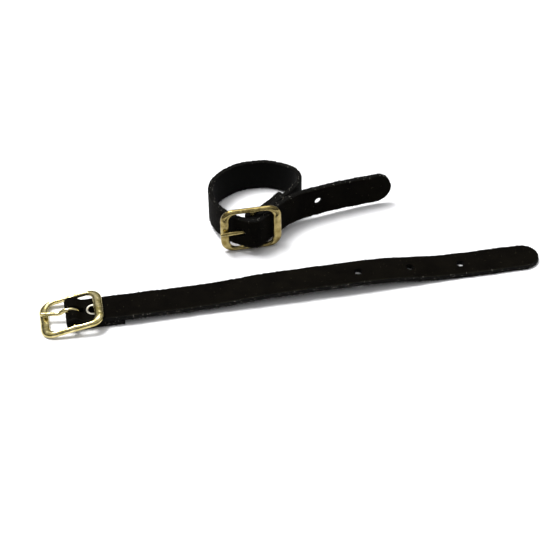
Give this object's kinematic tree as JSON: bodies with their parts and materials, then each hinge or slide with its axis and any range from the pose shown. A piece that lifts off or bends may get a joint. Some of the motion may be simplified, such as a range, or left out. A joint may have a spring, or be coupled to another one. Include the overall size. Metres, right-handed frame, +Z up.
{
  "type": "wrist buckle strap pair",
  "caption": "Pair of narrow leather wrist straps with riveted centre-bar buckles; one lies open, the other is buckled into a loop.",
  "frame": {"origin": "on the ground under the middle of the pair", "axes": "+X along the open strap from its buckle to its tip, +Z up, +Y towards the buckled strap"},
  "size_m": [0.2414, 0.0946, 0.0237],
  "materials": {
    "leather_black": "matt, slightly waxed grain",
    "brass_polished": "polished cast brass",
    "brass_antique": "brass, a little tarnished",
    "nickel": "plated, dulled"
  },
  "bodies": {
    "strap_a_end": {"strap_a_end": "leather_black", "rivet_a": "nickel"},
    "buckle_a": {"buckle_a": "brass_polished"},
    "tongue_a": {"tongue_a": "brass_polished"},
    "strap_a_flex_1": {"strap_a_flex_1": "leather_black"},
    "strap_a_flex_2": {"strap_a_flex_2": "leather_black"},
    "strap_a_flex_3": {"strap_a_flex_3": "leather_black"},
    "strap_a_flex_4": {"strap_a_flex_4": "leather_black"},
    "strap_a_flex_5": {"strap_a_flex_5": "leather_black"},
    "strap_b": {"strap_b_loop": "leather_black", "rivet_b": "nickel", "buckle_b": "brass_antique"},
    "strap_b_tail": {"strap_b_tail": "leather_black"},
    "tongue_b": {"tongue_b": "brass_antique"}
  },
  "joints": [
    {"name": "buckle_a_swing", "type": "hinge", "parent": "strap_a_end", "child": "buckle_a", "pos_m": [-0.10414, -0.03546, 0.00368], "axis": [0, -1, 0], "range_deg": [0, 50]},
    {"name": "tongue_a_open", "type": "hinge", "parent": "buckle_a", "child": "tongue_a", "pos_m": [-0.10414, -0.03546, 0.00368], "axis": [0, 1, 0], "range_deg": [0, 115]},
    {"name": "strap_a_flex_1", "type": "hinge", "parent": "strap_a_end", "child": "strap_a_flex_1", "pos_m": [-0.06371, -0.03546, 0.00465], "axis": [0, -1, 0], "range_deg": [0, 55], "stiffness_Nm_per_rad": 0.02},
    {"name": "strap_a_flex_2", "type": "hinge", "parent": "strap_a_flex_1", "child": "strap_a_flex_2", "pos_m": [-0.02276, -0.03546, 0.00557], "axis": [0, -1, 0], "range_deg": [0, 55], "stiffness_Nm_per_rad": 0.02},
    {"name": "strap_a_flex_3", "type": "hinge", "parent": "strap_a_flex_2", "child": "strap_a_flex_3", "pos_m": [0.0184, -0.03546, 0.0062], "axis": [0, -1, 0], "range_deg": [0, 55], "stiffness_Nm_per_rad": 0.02},
    {"name": "strap_a_flex_4", "type": "hinge", "parent": "strap_a_flex_3", "child": "strap_a_flex_4", "pos_m": [0.04387, -0.03546, 0.00568], "axis": [0, -1, 0], "range_deg": [0, 55], "stiffness_Nm_per_rad": 0.02},
    {"name": "strap_a_flex_5", "type": "hinge", "parent": "strap_a_flex_4", "child": "strap_a_flex_5", "pos_m": [0.06916, -0.03546, 0.00317], "axis": [0, -1, 0], "range_deg": [0, 55], "stiffness_Nm_per_rad": 0.02},
    {"name": "strap_b_lift", "type": "slide", "parent": "strap_a_end", "child": "strap_b", "axis": [0, 0, 1], "range_m": [0, 0.05]},
    {"name": "strap_b_tail_flex", "type": "hinge", "parent": "strap_b", "child": "strap_b_tail", "pos_m": [0.00752, 0.00919, 0.01103], "axis": [0, 0.0813, 0.9967], "range_deg": [-50, 8], "stiffness_Nm_per_rad": 0.02},
    {"name": "tongue_b_lift", "type": "hinge", "parent": "strap_b", "child": "tongue_b", "pos_m": [-0.01314, -0.00046, 0.01181], "axis": [0, 0.0813, 0.9967], "range_deg": [0, 4]}
  ]
}
